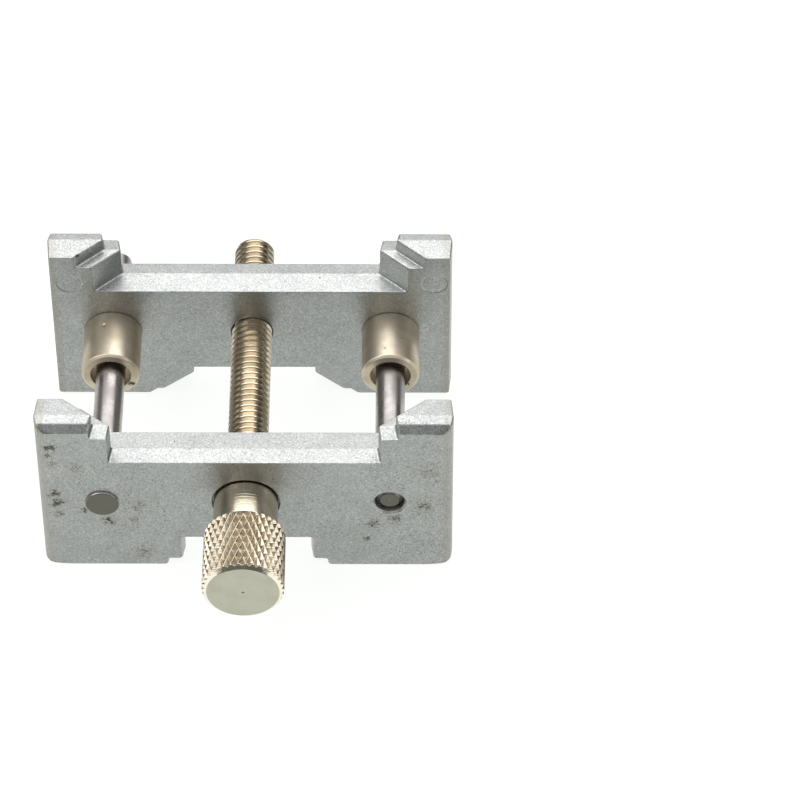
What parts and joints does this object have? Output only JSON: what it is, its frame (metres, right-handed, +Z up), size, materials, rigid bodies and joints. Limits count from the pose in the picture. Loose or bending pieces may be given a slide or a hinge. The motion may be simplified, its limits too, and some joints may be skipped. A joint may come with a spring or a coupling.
{
  "type": "watch movement holder",
  "caption": "Two stepped metal jaws on guide rods, drawn together by a knurled screw; reversible, with a wide seat on top and a narrow one underneath.",
  "frame": {"origin": "on the plane that the feet stand on, in the middle of the holder's overall length and width with the jaws at their rest opening", "axes": "+Z up through the wide seat, +Y along the screw and the rods away from the knob, +X along the jaws to the right as seen from the knob"},
  "size_m": [0.05, 0.0564, 0.0252],
  "materials": {
    "cast_metal": "satin",
    "plain_steel": "satin",
    "nickel_plate": "gloss",
    "spring_steel": "satin"
  },
  "bodies": {
    "fixed_jaw": {"front_jaw": "cast_metal", "guide_rod_left": "plain_steel", "guide_rod_right": "plain_steel"},
    "moving_jaw": {"back_jaw": "cast_metal", "guide_bush_left": "nickel_plate", "guide_bush_right": "nickel_plate"},
    "screw": {"lead_screw": "nickel_plate", "knob": "nickel_plate", "retaining_clip": "spring_steel"}
  },
  "joints": [
    {"name": "screw_turn", "type": "hinge", "parent": "fixed_jaw", "child": "screw", "pos_m": [0, 0, 0.0116], "axis": [0, -1, 0], "range_deg": [-6303, 2883]},
    {"name": "jaw_slide", "type": "slide", "parent": "fixed_jaw", "child": "moving_jaw", "axis": [0, 1, 0], "range_m": [-0.01575, 0.0072]}
  ],
  "couplings": [
    {"joint": "screw_turn", "follows": "jaw_slide", "rad_per_m": 6981.3}
  ]
}
